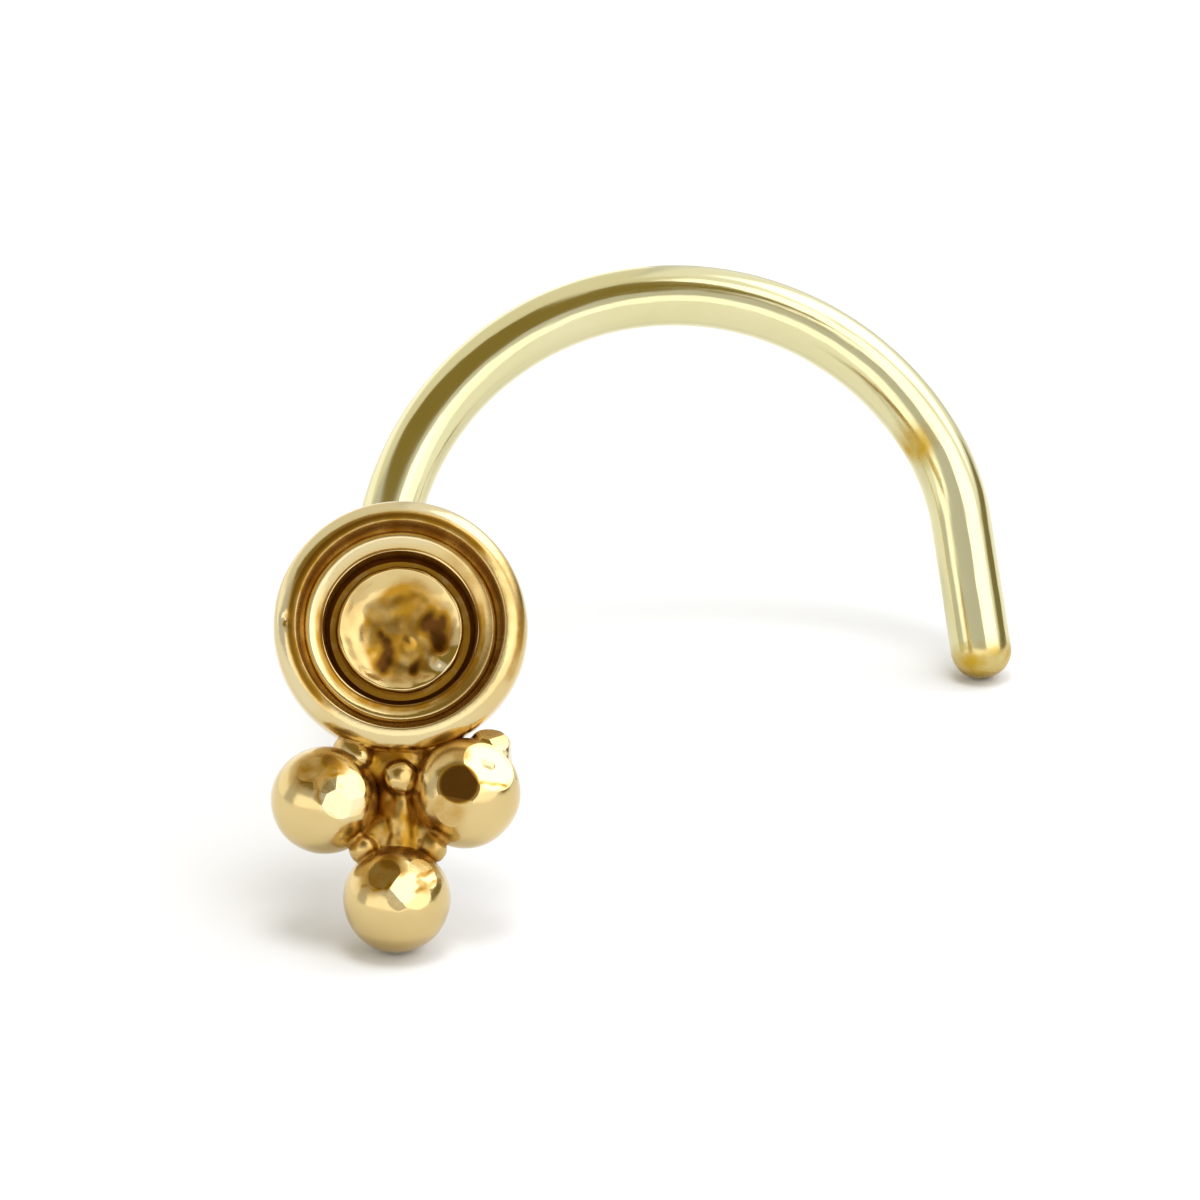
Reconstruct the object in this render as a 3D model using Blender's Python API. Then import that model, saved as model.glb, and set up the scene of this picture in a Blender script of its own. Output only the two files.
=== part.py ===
"""A gold nose stud with a hook: a turned cup, three grains soldered under it, and a bent wire behind.

The stud is modelled as it is worn, in millimetres: x to the right, y from the cup's lip towards the
back, z up, with the middle of the lip at 0. An empty then lays the whole stud down the way it rests
by itself on a table, on its lowest grain, on the bend of its wire and on the wire's tip.
"""

import math

import bmesh
import bpy
from mathutils import Matrix, Vector

MM = 0.001

# The cup, turned about y. Each depth is measured back from the lip, and outlines are (radius, depth).
CUP_DEPTH = 1.05
CUP_BACK_RADIUS = 1.50
CUP_WIDEST_RADIUS = 1.635
CUP_WIDEST_DEPTH = 0.44
WALL_FOOT = (1.605, 0.71)
LIP_OUTLINE = [  # from the wall over the bevel to the crest, and into the groove
    (1.630, 0.290),
    (1.605, 0.156),
    (1.545, 0.081),
    (1.480, 0.031),
    (1.405, 0.006),
    (1.358, 0.000),
    (1.338, 0.018),
    (1.330, 0.080),
]
GROOVE_FLOOR_DEPTH = 0.38
RING_RADIUS = 1.115
RING_HALF_WIDTH = 0.100
RING_DEPTH = 0.27
RING_SLOPE_DEPTH = 0.12
CHANNEL_FLOOR_DEPTH = 0.74
CHANNEL_OUTER_RADIUS = 0.955
DISH_RADIUS = 0.82
DISH_RIM_RADIUS = 0.775
DISH_RIM_DEPTH = 0.516
DISH_FLOOR_RADIUS = 0.55
DISH_FLOOR_DEPTH = 0.658
CUP_SEGMENTS = 48

# The three grains, as (x, z, radius), all at one depth, so that they end level with the cup's back.
GRAIN_DEPTH = 0.40
GRAINS = {
    "grain_left": (-0.975, -2.226, 0.69),
    "grain_right": (0.833, -2.132, 0.71),
    "grain_bottom": (-0.050, -3.503, 0.69),
}
GRAIN_LEVELS = 4
GRANULE_PLACE = (0.0, 0.20, -1.965)
GRANULE_RADIUS = 0.225
GRANULE_SEAT_RADIUS = 0.18
BEAD_LEVELS = 3

# The solder that fills the places between them, and a bead of it that stands out beside the right grain.
STEM_RADIUS = 0.42
STEM_DEPTH = 0.60
NECK_RADIUS = 0.33
BEAD_PLACE = (1.15, 0.45, -1.62)
BEAD_RADIUS = 0.28
FOOT_RADIUS = 0.62
FOOT_HEIGHT = 0.24
SOLDER_SIDES = 20
SOLDER_BITE = 0.08

# The wire, 20 gauge: a post straight back, a bend, a hook and a straight leg with a round tip.
WIRE_RADIUS = 0.405
POST_LENGTH = 6.50
HOOK_RADIUS = 3.952
HOOK_CENTRE_ACROSS = 3.749
HOOK_CENTRE_UP = 1.53
HOOK_TWIST = math.radians(5.2)
HOOK_END_ANGLE = math.radians(22)
KINK_RADIUS = 1.2
LEG_SPLAY = math.radians(8.6)
LEG_LENGTH = 1.96
WIRE_SIDES_RESOLUTION = 6
WIRE_STEP = 0.34
BEND_STEPS = 6
KINK_STEPS = 3
TIP_STEPS = 5
TIP_END_ANGLE = math.radians(84)

SHARP_ANGLE = math.radians(50)
FIRST_BEND_CONTACT = math.radians(30)
REST_ROUNDS = 20


def to_world_units(points):
    return [Vector(point) * MM for point in points]


def object_from(name, bm):
    mesh = bpy.data.meshes.new(name)
    bmesh.ops.recalc_face_normals(bm, faces=bm.faces)
    bm.to_mesh(mesh)
    bm.free()
    piece = bpy.data.objects.new(name, mesh)
    bpy.context.scene.collection.objects.link(piece)
    return piece


def cup_profile():
    """The cup's outline from the middle of its back, over the lip and the ring, to the middle of the dish."""
    back = [(0, CUP_DEPTH), (CUP_BACK_RADIUS, CUP_DEPTH)]
    wall = [WALL_FOOT, (CUP_WIDEST_RADIUS, CUP_WIDEST_DEPTH)]
    groove_middle = (LIP_OUTLINE[-1][0] + RING_RADIUS + RING_HALF_WIDTH) / 2
    groove = [(groove_middle, GROOVE_FLOOR_DEPTH)]
    channel = [(CHANNEL_OUTER_RADIUS, CHANNEL_FLOOR_DEPTH), (DISH_RADIUS, CHANNEL_FLOOR_DEPTH)]
    return back + wall + LIP_OUTLINE + groove + ring_profile() + channel + dish_profile()


def ring_profile():
    """The ring's face falls inwards, from its crest to the channel."""
    inner, outer = RING_RADIUS - RING_HALF_WIDTH, RING_RADIUS + RING_HALF_WIDTH
    crest = outer - RING_HALF_WIDTH / 3
    rounding = RING_SLOPE_DEPTH / 4
    return [
        (outer, RING_DEPTH + rounding),
        (crest, RING_DEPTH),
        (inner + RING_HALF_WIDTH / 4, RING_DEPTH + RING_SLOPE_DEPTH / 2),
        (inner, RING_DEPTH + RING_SLOPE_DEPTH),
    ]


def dish_profile():
    """The centre: a rim with a rounded edge round a shallow hollow."""
    edge = DISH_RADIUS - DISH_RIM_RADIUS
    steps = 4
    profile = [(DISH_RADIUS, DISH_RIM_DEPTH + edge), (DISH_RIM_RADIUS, DISH_RIM_DEPTH)]
    for i in range(1, steps + 1):
        share = i / steps
        radius = DISH_RIM_RADIUS + (DISH_FLOOR_RADIUS - DISH_RIM_RADIUS) * share
        fall = math.sin(math.pi / 2 * share)
        profile.append((radius, DISH_RIM_DEPTH + (DISH_FLOOR_DEPTH - DISH_RIM_DEPTH) * fall))
    return profile + [(0, DISH_FLOOR_DEPTH)]


def make_cup():
    bm = bmesh.new()
    corners = [bm.verts.new((r * MM, y * MM, 0)) for r, y in cup_profile()]
    edges = [bm.edges.new(pair) for pair in zip(corners, corners[1:])]
    bmesh.ops.spin(
        bm,
        geom=corners + edges,
        cent=(0, 0, 0),
        axis=(0, 1, 0),
        angle=math.tau,
        steps=CUP_SEGMENTS,
        use_merge=True,
    )
    bmesh.ops.remove_doubles(bm, verts=bm.verts, dist=1e-5 * MM)
    return object_from("nose_stud", bm)


def make_ball(name, centre, radius, levels):
    bm = bmesh.new()
    at = Matrix.Translation(Vector(centre) * MM)
    bmesh.ops.create_icosphere(bm, subdivisions=levels, radius=radius * MM, matrix=at)
    return object_from(name, bm)


def make_rod(name, start, end, start_radius, end_radius):
    """A straight bar of solder, or a cone of it, between two points."""
    first, last = to_world_units((start, end))
    along = last - first
    turned = Vector((0, 0, 1)).rotation_difference(along).to_matrix().to_4x4()
    bm = bmesh.new()
    bmesh.ops.create_cone(
        bm,
        cap_ends=True,
        segments=SOLDER_SIDES,
        radius1=start_radius * MM,
        radius2=end_radius * MM,
        depth=along.length,
        matrix=Matrix.Translation((first + last) / 2) @ turned,
    )
    return object_from(name, bm)


def grain_centre(name):
    x, z, _ = GRAINS[name]
    return Vector((x, GRAIN_DEPTH, z))


def make_solder():
    """Necks from grain to grain and from the upper grains to the cup, the stem, and the post's foot."""
    left, right, bottom = (grain_centre(name) for name in GRAINS)
    cup = Vector((0, GRAIN_DEPTH, 0))
    pieces = [
        make_rod("solder_left", left, bottom, NECK_RADIUS, NECK_RADIUS),
        make_rod("solder_right", right, bottom, NECK_RADIUS, NECK_RADIUS),
    ]
    for name, grain in (("solder_cup_left", left), ("solder_cup_right", right)):
        seat = cup + (grain - cup).normalized() * (CUP_BACK_RADIUS - SOLDER_BITE)
        pieces.append(make_rod(name, seat, grain, NECK_RADIUS, NECK_RADIUS))
    stem_top = (0, STEM_DEPTH, -CUP_BACK_RADIUS + SOLDER_BITE)
    stem_end = (bottom.x, STEM_DEPTH, bottom.z)
    pieces.append(make_rod("solder_stem", stem_top, stem_end, STEM_RADIUS, STEM_RADIUS))
    granule_back = (0, STEM_DEPTH, GRANULE_PLACE[2])
    pieces.append(make_rod("granule_seat", GRANULE_PLACE, granule_back, GRANULE_SEAT_RADIUS, STEM_RADIUS))
    foot_start = (0, CUP_DEPTH - SOLDER_BITE, 0)
    foot_end = (0, CUP_DEPTH + FOOT_HEIGHT, 0)
    pieces.append(make_rod("post_foot", foot_start, foot_end, FOOT_RADIUS, WIRE_RADIUS))
    return pieces


def hook_plane():
    """The end of the post, and the hook's two directions: across and up."""
    corner = Vector((0, CUP_DEPTH + POST_LENGTH + WIRE_RADIUS, 0))
    across = Vector((math.cos(HOOK_TWIST), math.sin(HOOK_TWIST), 0))
    return corner, across, Vector((0, 0, 1))


def hook_start():
    """The bend is tangent to the post and to the hook's circle, which settles its radius and its end."""
    away = math.hypot(HOOK_CENTRE_ACROSS, HOOK_CENTRE_UP)
    bend_radius = math.sqrt(away**2 - HOOK_RADIUS**2)
    towards_post = math.atan2(-HOOK_CENTRE_UP, -HOOK_CENTRE_ACROSS)
    start = towards_post - math.acos(HOOK_RADIUS / away)
    return bend_radius, start % math.tau


def bend_point(turned, corner, rising, bend_radius):
    back = Vector((0, 1, 0))
    return (
        corner
        + back * bend_radius * (math.sin(turned) - 1)
        + rising * bend_radius * (1 - math.cos(turned))
    )


def steps_for(length):
    return max(2, round(length / WIRE_STEP))


def hook_outline(start):
    """The hook in its own plane, as (across, up): its circle, an easy kink and the straight leg."""
    swept = start - HOOK_END_ANGLE
    count = steps_for(swept * HOOK_RADIUS)
    angles = [start - swept * i / count for i in range(count + 1)]
    points = [
        (HOOK_CENTRE_ACROSS + HOOK_RADIUS * math.cos(a), HOOK_CENTRE_UP + HOOK_RADIUS * math.sin(a))
        for a in angles
    ]
    # A heading is measured from straight down, outwards.
    step = KINK_RADIUS * (HOOK_END_ANGLE - LEG_SPLAY) / KINK_STEPS
    for i in range(KINK_STEPS):
        heading = HOOK_END_ANGLE - (HOOK_END_ANGLE - LEG_SPLAY) * (i + 0.5) / KINK_STEPS
        x, z = points[-1]
        points.append((x + step * math.sin(heading), z - step * math.cos(heading)))
    x, z = points[-1]
    count = steps_for(LEG_LENGTH)
    for i in range(1, count + 1):
        run = LEG_LENGTH * i / count
        points.append((x + run * math.sin(LEG_SPLAY), z - run * math.cos(LEG_SPLAY)))
    return points


def wire_path():
    """The wire's centreline from inside the cup to the middle of its round tip, and the bend's data."""
    corner, across, up = hook_plane()
    bend_radius, start = hook_start()
    rising = across * math.sin(start) - up * math.cos(start)
    post_end = corner.y - bend_radius
    points = [Vector((0, CUP_DEPTH - SOLDER_BITE, 0)), Vector((0, post_end / 2, 0))]
    for i in range(BEND_STEPS + 1):
        points.append(bend_point(math.pi / 2 * i / BEND_STEPS, corner, rising, bend_radius))
    outline = hook_outline(start)[1:]
    points += [corner + across * x + up * z for x, z in outline]
    return points, (corner, rising, bend_radius)


def make_wire(path):
    """A curve of one thickness, its radius closing to nothing round the tip, turned into a mesh."""
    tip = path[-1]
    heading = (path[-1] - path[-2]).normalized()
    closing = [TIP_END_ANGLE * i / TIP_STEPS for i in range(1, TIP_STEPS + 1)]
    round_end = [(tip + heading * WIRE_RADIUS * math.sin(a), math.cos(a)) for a in closing]
    stations = [(point, 1.0) for point in path] + round_end
    data = bpy.data.curves.new("hook_wire", "CURVE")
    data.dimensions = "3D"
    data.twist_mode = "MINIMUM"
    data.bevel_depth = WIRE_RADIUS * MM
    data.bevel_resolution = WIRE_SIDES_RESOLUTION
    data.use_fill_caps = True
    spline = data.splines.new("POLY")
    spline.points.add(len(stations) - 1)
    for point, (place, thickness) in zip(spline.points, stations):
        point.co = (*(place * MM), 1)
        point.radius = thickness
    curve = bpy.data.objects.new("hook_wire_route", data)
    bpy.context.scene.collection.objects.link(curve)
    graph = bpy.context.evaluated_depsgraph_get()
    bm = bmesh.new()
    bm.from_mesh(bpy.data.meshes.new_from_object(curve.evaluated_get(graph)))
    bpy.data.objects.remove(curve)
    bmesh.ops.remove_doubles(bm, verts=bm.verts, dist=1e-4 * MM)
    return object_from("hook_wire", bm)


def plane_under(balls):
    """The upward normal of the plane that three balls, (centre, radius), stand on."""
    (a, ra), (b, rb), (c, rc) = balls
    first, second = b - a, c - a
    square = Vector.cross(first, second)
    size = square.length
    # The normal's part in the plane of the centres makes up for the balls' different radii.
    level = (Vector.cross(second, square) * (rb - ra) + Vector.cross(square, first) * (rc - ra)) / size**2
    upright = square / size
    if upright.z < 0:
        upright.negate()
    return level + upright * math.sqrt(1 - level.length_squared)


def resting_normal(path, bend):
    """The floor's normal under the lowest grain, the lowest place of the bend, and the wire's tip."""
    corner, rising, bend_radius = bend
    grain = (grain_centre("grain_bottom"), GRAINS["grain_bottom"][2])
    tip = (path[-1], WIRE_RADIUS)
    turned = FIRST_BEND_CONTACT
    normal = Vector((0, 0, 1))
    for _ in range(REST_ROUNDS):
        low = bend_point(turned, corner, rising, bend_radius)
        normal = plane_under((grain, (low, WIRE_RADIUS), tip))
        turned = math.atan2(-normal.y, normal.dot(rising))
    return normal


def lay_down(stud, pieces, normal):
    """Turn the stud about an empty so that normal points up and the cup faces -Y, then stand it on Z 0."""
    back = Vector((0, 1, 0))
    back = (back - normal * back.dot(normal)).normalized()
    turn = Matrix((back.cross(normal), back, normal)).to_4x4()
    rest = bpy.data.objects.new("resting_place", None)
    bpy.context.scene.collection.objects.link(rest)
    graph = bpy.context.evaluated_depsgraph_get()
    corners = [turn @ vertex.co for vertex in stud.evaluated_get(graph).data.vertices]
    low = Vector([min(corner[i] for corner in corners) for i in range(3)])
    high = Vector([max(corner[i] for corner in corners) for i in range(3)])
    foot = Vector(((low.x + high.x) / 2, (low.y + high.y) / 2, low.z))
    rest.matrix_world = Matrix.Translation(-foot) @ turn
    for piece in (stud, *pieces):
        piece.parent = rest


def gold():
    material = bpy.data.materials.new("yellow gold")
    material.use_nodes = True
    shader = material.node_tree.nodes["Principled BSDF"]
    shader.inputs["Base Color"].default_value = (0.83, 0.56, 0.18, 1)
    shader.inputs["Metallic"].default_value = 1.0
    shader.inputs["Roughness"].default_value = 0.18
    return material


def solder_together(stud, pieces):
    """Every piece is joined to the cup, as solder makes the real stud one solid."""
    for piece in pieces:
        piece.hide_render = True
        piece.display_type = "WIRE"
        joint = stud.modifiers.new(piece.name, "BOOLEAN")
        joint.operation = "UNION"
        joint.object = piece


def main():
    for old in list(bpy.data.objects):
        bpy.data.objects.remove(old)
    stud = make_cup()
    path, bend = wire_path()
    pieces = [make_ball(name, grain_centre(name), GRAINS[name][2], GRAIN_LEVELS) for name in GRAINS]
    pieces.append(make_ball("centre_granule", GRANULE_PLACE, GRANULE_RADIUS, BEAD_LEVELS))
    pieces.append(make_ball("solder_bead", BEAD_PLACE, BEAD_RADIUS, BEAD_LEVELS))
    pieces += make_solder()
    pieces.append(make_wire(path))
    material = gold()
    for piece in (stud, *pieces):
        piece.data.materials.append(material)
        piece.data.shade_smooth()
        piece.data.set_sharp_from_angle(angle=SHARP_ANGLE)
    solder_together(stud, pieces)
    lay_down(stud, pieces, resting_normal(path, bend))


main()
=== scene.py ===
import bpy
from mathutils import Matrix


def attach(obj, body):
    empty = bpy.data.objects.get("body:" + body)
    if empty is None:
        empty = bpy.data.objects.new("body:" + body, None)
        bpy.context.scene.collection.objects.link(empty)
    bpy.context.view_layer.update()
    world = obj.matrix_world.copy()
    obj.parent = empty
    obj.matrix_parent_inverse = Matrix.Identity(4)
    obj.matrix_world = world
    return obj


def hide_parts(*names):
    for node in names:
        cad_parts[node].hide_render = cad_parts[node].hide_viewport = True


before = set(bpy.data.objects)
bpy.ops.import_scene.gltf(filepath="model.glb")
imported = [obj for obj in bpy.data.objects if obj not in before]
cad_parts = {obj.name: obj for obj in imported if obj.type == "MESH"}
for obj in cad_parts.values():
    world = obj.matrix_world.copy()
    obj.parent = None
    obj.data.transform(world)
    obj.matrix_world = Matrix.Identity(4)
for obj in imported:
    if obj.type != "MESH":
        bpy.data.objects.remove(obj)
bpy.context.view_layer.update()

import math

import bmesh
import bpy
from mathutils import Euler, Quaternion, Vector
from mathutils.kdtree import KDTree

# Everything is modelled in millimetres as the stud is worn: x to the right, y from the lip to the back,
# z up, the middle of the lip at 0. layDown then turns it to the way it stands on the table, in metres.
mm = 0.001
mergeDistance = 0.0004  # mm, for the points that a pull leaves on top of each other
ringStep = 0.045  # mm, the most between two rings of a turned piece
stance = {
    "lipMiddle": (-3.2374, -4.1453, 3.9467),  # mm, on the table
    "turns": (-29.0164, 0.3178, -0.1763),  # degrees: lean, roll, turn
}


def clearSelection():
    if bpy.context.mode != "OBJECT":
        bpy.ops.object.mode_set(mode="OBJECT")
    bpy.ops.object.select_all(action="DESELECT")


def pick(piece):
    clearSelection()
    piece.select_set(True)
    bpy.context.view_layer.objects.active = piece


def openEdit(piece, mode="VERT"):
    pick(piece)
    bpy.ops.object.mode_set(mode="EDIT")
    bpy.ops.mesh.select_mode(type=mode)
    bpy.ops.mesh.select_all(action="DESELECT")


def closeEdit():
    bpy.ops.object.mode_set(mode="OBJECT")


def newPiece(name):
    piece = bpy.context.active_object
    piece.name = name
    bpy.ops.object.transform_apply(location=True, rotation=True, scale=True)
    return piece


def applyModifiers(piece):
    pick(piece)
    for modifier in list(piece.modifiers):
        bpy.ops.object.modifier_apply(modifier=modifier.name)


def pullOut(step, scale=1.0, around=(0, 0, 0)):  # the selected end, moved on and made wider or narrower
    bpy.ops.mesh.extrude_region_move(TRANSFORM_OT_translate={"value": tuple(step)})
    if scale != 1.0:
        bpy.ops.transform.resize(value=(scale, scale, scale), center_override=tuple(around))


def refine(profile, step):  # puts points in between, so that no two are further apart than step
    fine = [profile[0]]
    for (radius, depth), (newRadius, newDepth) in zip(profile, profile[1:]):
        count = math.ceil(math.hypot(newRadius - radius, newDepth - depth) / step)
        fine += [(radius + (newRadius - radius) * i / count, depth + (newDepth - depth) * i / count)
                 for i in range(1, count + 1)]
    return fine


def startCircle(name, sides, radius, depth, fill="NGON"):  # facing the front, left open in edit mode
    clearSelection()
    bpy.ops.mesh.primitive_circle_add(
        vertices=sides, radius=radius, fill_type=fill, location=(0, depth, 0), rotation=(math.pi / 2, 0, 0)
    )
    piece = newPiece(name)
    openEdit(piece, "FACE" if fill == "NGON" else "EDGE")
    bpy.ops.mesh.select_all(action="SELECT")
    return piece


def turnOnLathe(name, profile, segments):
    # profile runs from the middle of the back to the middle of the front, as (radius, depth)
    profile = refine(profile, ringStep)
    radius, depth = profile[0]
    piece = startCircle(name, segments, radius, depth)
    bpy.ops.mesh.duplicate()  # the end that is pulled along; the disc under it stays as the back
    for newRadius, newDepth in profile[1:]:
        pullOut((0, newDepth - depth, 0), newRadius / radius, (0, newDepth, 0))
        radius, depth = newRadius, newDepth
    bpy.ops.mesh.merge(type="CENTER")
    bpy.ops.mesh.select_all(action="SELECT")
    bpy.ops.mesh.remove_doubles(threshold=mergeDistance)
    bpy.ops.mesh.normals_make_consistent(inside=False)
    closeEdit()
    return piece


def roughen(piece, name, size, amount):  # the slight unevenness of work by hand, in mm
    texture = bpy.data.textures.new(name, "CLOUDS")
    texture.noise_scale = size
    texture.noise_depth = 1
    uneven = piece.modifiers.new(name, "DISPLACE")
    uneven.texture = texture
    uneven.texture_coords = "LOCAL"
    uneven.strength = amount
    uneven.mid_level = 0.5  # half goes in and half out
    applyModifiers(piece)


def pushDent(piece, place, push, size, falloff="SMOOTH"):  # moves the nearest point and what lies round it
    target = Vector(place)
    openEdit(piece)
    bm = bmesh.from_edit_mesh(piece.data)
    nearest = min(bm.verts, key=lambda vert: (vert.co - target).length)
    nearest.select_set(True)
    bm.select_flush(True)
    bmesh.update_edit_mesh(piece.data)
    bpy.ops.transform.translate(
        value=tuple(push), use_proportional_edit=True,
        proportional_edit_falloff=falloff, proportional_size=size,
    )
    closeEdit()


def towards(middle, facing, distance):  # facing is degrees to the right and up, seen from the front
    side, up = (math.radians(angle) for angle in facing)
    ahead = Vector((math.sin(side) * math.cos(up), -math.cos(side) * math.cos(up), math.sin(up)))
    return Vector(middle) + distance * ahead


def fileFlat(piece, middle, facing, offset):
    # a cut round the ball at the flat's edge, then all that stands proud of it is pressed level
    spot = towards(middle, facing, offset)
    normal = (spot - Vector(middle)).normalized()
    openEdit(piece)
    bpy.ops.mesh.select_all(action="SELECT")
    bpy.ops.mesh.bisect(plane_co=tuple(spot), plane_no=tuple(normal))
    bm = bmesh.from_edit_mesh(piece.data)
    for vert in bm.verts:
        proud = (vert.co - spot).dot(normal)
        if proud > 0:
            vert.co -= normal * proud
    bmesh.update_edit_mesh(piece.data)
    closeEdit()


def paintStainAndLight(piece, howDark):  # -1 is paler: freshly filed metal and painted highlights; 0 untouched; 1 darker: the film left in recesses and painted shade; 2 darkest: a crust and deeper painted shade
    dark = piece.data.attributes.new("tarnish_and_painted_light", "FLOAT", "POINT")
    dark.data.foreach_set("value", [min(2, max(-1, howDark(vert.co))) for vert in piece.data.vertices])


def easeIn(value, low, high):  # from 0 at low to 1 at high, without a corner
    share = min(1, max(0, (value - low) / (high - low)))
    return share * share * (3 - 2 * share)


def within(value, low, full, fading, gone):  # 1 between full and fading
    return easeIn(value, low, full) * (1 - easeIn(value, fading, gone))


def outFrom(place):  # the distance from the head's axis, and the place's share of it to the right and up
    out = max(math.hypot(place.x, place.z), 0.01)  # never 0, so that the shares stay finite
    return out, place.x / out, place.z / out


def shake(place, rateUp, startUp, rateAcross, startAcross, amount):  # so that a stain's edge isn't a circle
    across, up = math.sin(rateUp * place.z + startUp), math.sin(rateAcross * place.x + startAcross)
    return place + Vector((across, 0, up)) * amount


def meltBalls(name, balls, voxel, rounding):  # joins (place, radius) balls into one flowing skin
    made = []
    clearSelection()
    for place, radius in balls:
        bpy.ops.mesh.primitive_ico_sphere_add(subdivisions=4, radius=radius, location=place)
        made.append(bpy.context.active_object)
    clearSelection()
    for part in made:
        part.select_set(True)
    bpy.context.view_layer.objects.active = made[0]
    bpy.ops.object.join()
    piece = newPiece(name)
    melt = piece.modifiers.new("melt", "REMESH")
    melt.mode = "VOXEL"
    melt.voxel_size = voxel
    flow = piece.modifiers.new("flow", "SMOOTH")
    flow.iterations = rounding
    applyModifiers(piece)
    return piece


def layDown(piece, material, smoothAngle=None):
    pick(piece)
    piece.scale = (mm, mm, mm)
    piece.rotation_euler = Euler([math.radians(turn) for turn in stance["turns"]])
    piece.location = Vector(stance["lipMiddle"]) * mm
    bpy.ops.object.transform_apply(location=True, rotation=True, scale=True)
    if smoothAngle is None:
        bpy.ops.object.shade_smooth()
    else:
        bpy.ops.object.shade_smooth_by_angle(angle=math.radians(smoothAngle))
    piece.data.materials.clear()
    piece.data.materials.append(material)
    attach(piece, "root")
    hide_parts("nose_stud")
    print("made", piece.name, len(piece.data.polygons))
    return piece


def toLinear(hexColour):  # from sRGB
    parts = [int(hexColour[i:i + 2], 16) / 255 for i in (1, 3, 5)]
    return tuple(p / 12.92 if p <= 0.04045 else ((p + 0.055) / 1.055) ** 2.4 for p in parts) + (1.0,)


def addNode(tree, kind, settings=None, links=None):
    node = tree.nodes.new(kind)
    for name, value in (settings or {}).items():
        if isinstance(name, str) and hasattr(node, name):
            setattr(node, name, value)
        else:
            node.inputs[name].default_value = value
    for name, source in (links or {}).items():
        tree.links.new(source, node.inputs[name])
    return node


mixFirst, mixSecond, mixResult = 6, 7, 2  # the colour sockets of a mix node
goldNoise = {  # the patches' noise and what it makes of the film and painted shade, the grain's depth in mm, and octaves
    "patches": (0.3, 0.7), "filmAndShade": (0.5, 1.2), "grainDepth": 0.02,
    "cloudDetail": 3.0, "filmDetail": 2.0, "drawnDetail": 3.0, "grainDetail": 4.0,
}


def makeGold(name, look):
    material = bpy.data.materials.new(name)
    material.use_nodes = True
    tree = material.node_tree
    shader = tree.nodes["Principled BSDF"]
    shader.inputs["Metallic"].default_value = 1.0
    place = addNode(tree, "ShaderNodeTexCoord").outputs["Object"]
    clouds = addNode(tree, "ShaderNodeTexNoise", {
        "Scale": 1 / (look["cloudSize"] * mm), "Detail": goldNoise["cloudDetail"],
    }, {"Vector": place})
    patches = addNode(tree, "ShaderNodeTexNoise", {
        "Scale": 1 / (look["filmSize"] * mm), "Detail": goldNoise["filmDetail"],
    }, {"Vector": place})
    filmAndShade = addNode(tree, "ShaderNodeAttribute", {"attribute_name": "tarnish_and_painted_light"}).outputs["Fac"]
    filedAndLit = addNode(tree, "ShaderNodeMath", {"operation": "MULTIPLY", 1: -1.0, "use_clamp": True}, {0: filmAndShade})
    broken = addNode(tree, "ShaderNodeMapRange", {
        "From Min": goldNoise["patches"][0], "From Max": goldNoise["patches"][1],
        "To Min": goldNoise["filmAndShade"][0], "To Max": goldNoise["filmAndShade"][1],
    }, {"Value": patches.outputs["Fac"]})
    filmAndShadeShare = addNode(tree, "ShaderNodeMath", {"operation": "MULTIPLY", "use_clamp": True},
                        {0: filmAndShade, 1: broken.outputs["Result"]}).outputs["Value"]
    thick = addNode(tree, "ShaderNodeMath", {"operation": "SUBTRACT", 1: 1.0, "use_clamp": True}, {0: filmAndShade})
    colour = addNode(tree, "ShaderNodeMix", {
        "data_type": "RGBA", mixFirst: toLinear(look["deep"]), mixSecond: toLinear(look["light"]),
    }, {"Factor": clouds.outputs["Fac"]}).outputs[mixResult]
    # Below 0 the paler colour is mixed in, for filed metal and painted highlights; above 0 the film colour
    # and then the crust colour, for real film and painted shade
    layers = (("freshAndHighlight", filedAndLit.outputs["Value"]), ("filmAndShade", filmAndShadeShare), ("crustAndShade", thick.outputs["Value"]))
    for tint, share in layers:
        colour = addNode(tree, "ShaderNodeMix", {"data_type": "RGBA", mixSecond: toLinear(look[tint])},
                         {"Factor": share, mixFirst: colour}).outputs[mixResult]
    tree.links.new(colour, shader.inputs["Base Color"])
    grain, detail = look["grain"] * mm, goldNoise["grainDetail"]
    if look.get("drawn"):  # this attribute holds mm, where Object coordinates hold metres
        place = addNode(tree, "ShaderNodeAttribute", {"attribute_name": "drawn"}).outputs["Vector"]
        grain, detail = look["grain"], goldNoise["drawnDetail"]
    worn = addNode(tree, "ShaderNodeTexNoise", {"Scale": 1 / grain, "Detail": detail}, {"Vector": place})
    worn = worn.outputs["Fac"]
    low, high = look["roughness"]
    rough = addNode(tree, "ShaderNodeMapRange", {"To Min": low, "To Max": high}, {"Value": worn})
    dull = addNode(tree, "ShaderNodeMath", {"operation": "MULTIPLY_ADD", 1: look["filmAndShadeRoughness"]},
                   {0: filmAndShadeShare, 2: rough.outputs["Result"]})
    tree.links.new(dull.outputs["Value"], shader.inputs["Roughness"])
    bump = addNode(tree, "ShaderNodeBump", {
        "Strength": look["bump"], "Distance": goldNoise["grainDepth"] * mm,
    }, {"Height": worn})
    tree.links.new(bump.outputs["Normal"], shader.inputs["Normal"])
    return material


# Cast and soldered by hand, then polished: soft mirror, slightly lumpy; dark in the recesses and between the
# parts, which is painted shade, with paler painted highlights in places
richGold = makeGold("cast rich yellow gold, polished", {
    "deep": "#C8AF76", "light": "#DBC38A", "freshAndHighlight": "#D4C69C", "filmAndShade": "#A87C24", "crustAndShade": "#583714",
    "cloudSize": 0.9, "filmSize": 0.25, "grain": 0.14,  # mm; real polishing marks are too fine to show
    "filmAndShadeRoughness": 0.22, "roughness": (0.10, 0.22), "bump": 0.15,
})
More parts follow.
